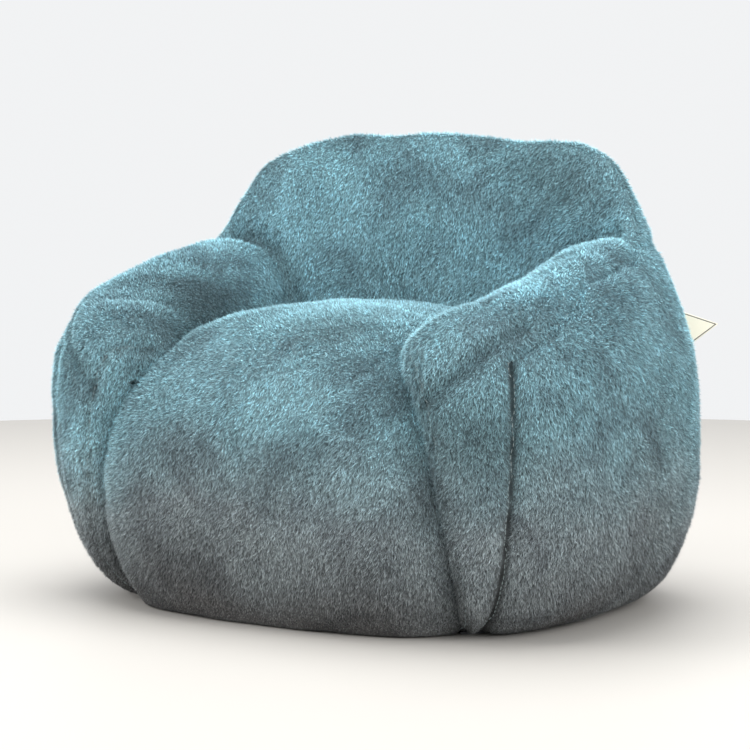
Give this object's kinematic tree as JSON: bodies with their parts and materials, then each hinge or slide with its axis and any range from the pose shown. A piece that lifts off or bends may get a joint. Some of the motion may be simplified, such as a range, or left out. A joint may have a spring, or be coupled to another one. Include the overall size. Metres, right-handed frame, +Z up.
{
  "type": "bean bag armchair",
  "caption": "Low, rounded plush bean bag armchair with a domed seat, wrap-around arms and backrest, a zipped flat base and a small side label.",
  "frame": {"origin": "on the floor, under the middle of the outline", "axes": "+Z up, the chair's front towards -Y, so +X is the sitter's left"},
  "size_m": [0.8604, 0.682, 0.6302],
  "materials": {
    "plush": "long soft pile",
    "inner_cloth": "plain knit",
    "lining": "thin spunbond",
    "beads": "expanded polystyrene beads",
    "base_cloth": "coated, matte",
    "zip_tape": "woven tape",
    "zip_coil": "nylon",
    "zip_metal": "black enamel",
    "label": "woven ribbon with a dark border"
  },
  "bodies": {
    "cover": {"backrest_panel": "plush", "back_panel": "plush", "seat_panel": "plush", "left_side_panel": "plush", "right_side_panel": "plush", "left_arm_panel": "plush", "right_arm_panel": "plush", "back_inner_wall": "inner_cloth", "left_inner_wall": "inner_cloth", "right_inner_wall": "inner_cloth", "left_arm_lining": "lining", "right_arm_lining": "lining", "back_lining": "lining", "seat_lining": "lining", "left_arm_beads": "beads", "right_arm_beads": "beads", "back_beads": "beads", "seat_beads": "beads", "front_base_panel": "base_cloth", "rear_base_panel": "base_cloth", "front_zip_tape": "zip_tape", "rear_zip_tape": "zip_tape", "front_zip_coil": "zip_coil", "rear_zip_coil": "zip_coil", "zip_end_stops": "zip_metal", "slider_pocket": "base_cloth"},
    "slider": {"zip_slider": "zip_metal"},
    "label": {"woven_label": "label"}
  },
  "joints": [
    {"name": "zip_slide", "type": "slide", "parent": "cover", "child": "slider", "axis": [-1, 0, 0], "range_m": [0, 0.439]},
    {"name": "label_flap", "type": "hinge", "parent": "cover", "child": "label", "pos_m": [0.33482, 0.23544, 0.32738], "axis": [-0.1895, -0.1231, 0.9741], "range_deg": [-60, 60]}
  ]
}
